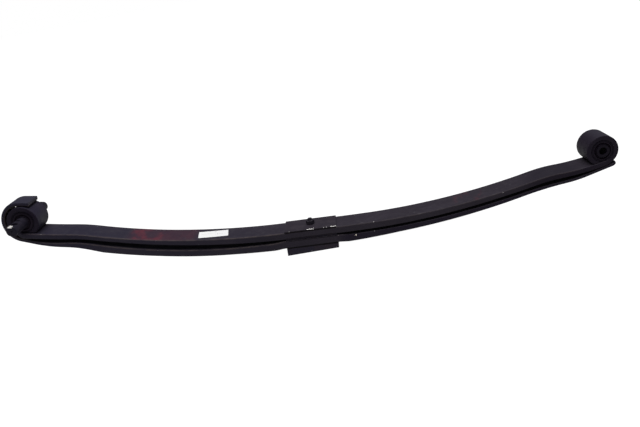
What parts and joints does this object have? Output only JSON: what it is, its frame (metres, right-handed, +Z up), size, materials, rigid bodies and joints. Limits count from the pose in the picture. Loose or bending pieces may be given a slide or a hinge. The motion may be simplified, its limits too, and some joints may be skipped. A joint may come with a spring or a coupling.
{
  "type": "leaf spring",
  "caption": "Parabolic leaf spring for a truck front axle: an eye at each end, a second leaf wrapped round one eye, rubber bushes and a tapered axle seat.",
  "frame": {"origin": "underside of the axle seat wedge, on the axis of the centre bolt, where the spring rests on the axle", "axes": "+Z up and square to the axle seat, +X along the spring from the front (wrapped) eye to the rear eye, +Y across the spring"},
  "size_m": [1.5536, 0.19, 0.2664],
  "materials": {
    "spring_paint": "satin",
    "liner_steel": "satin",
    "fastener_steel": "satin",
    "bush_steel": "satin",
    "pin_steel": "satin",
    "rubber": "matte",
    "label": "matte"
  },
  "bodies": {
    "leaf_pack": {"main_leaf": "spring_paint", "second_leaf": "spring_paint", "axle_seat_wedge": "spring_paint", "centre_liner": "liner_steel", "top_plate": "spring_paint", "centre_bolt": "fastener_steel", "centre_nut": "fastener_steel", "part_label": "label"},
    "front_eye": {"front_bush_outer_sleeve": "bush_steel", "front_bush_rubber": "rubber"},
    "front_pin": {"bar_pin": "pin_steel"},
    "rear_eye": {"rear_bush_outer_sleeve": "bush_steel", "rear_bush_rubber": "rubber"},
    "rear_sleeve": {"rear_bush_inner_sleeve": "bush_steel"}
  },
  "joints": [
    {"name": "front_flex", "type": "hinge", "parent": "leaf_pack", "child": "front_eye", "pos_m": [-0.228, 0, 0.071], "axis": [0, -1, 0], "range_deg": [-2, 10], "stiffness_Nm_per_rad": 30000, "deforming": ["main_leaf", "second_leaf", "part_label"]},
    {"name": "rear_flex", "type": "hinge", "parent": "leaf_pack", "child": "rear_eye", "pos_m": [0.228, 0, 0.046], "axis": [0, 1, 0], "range_deg": [-2, 8], "stiffness_Nm_per_rad": 30000, "deforming": ["main_leaf", "second_leaf"]},
    {"name": "bar_pin_twist", "type": "hinge", "parent": "front_eye", "child": "front_pin", "pos_m": [-0.7157, 0, 0.21295], "axis": [0, 1, 0], "range_deg": [-20, 20], "stiffness_Nm_per_rad": 270},
    {"name": "rear_sleeve_twist", "type": "hinge", "parent": "rear_eye", "child": "rear_sleeve", "pos_m": [0.74276, 0, 0.13388], "axis": [0, 1, 0], "range_deg": [-20, 20], "stiffness_Nm_per_rad": 580}
  ]
}
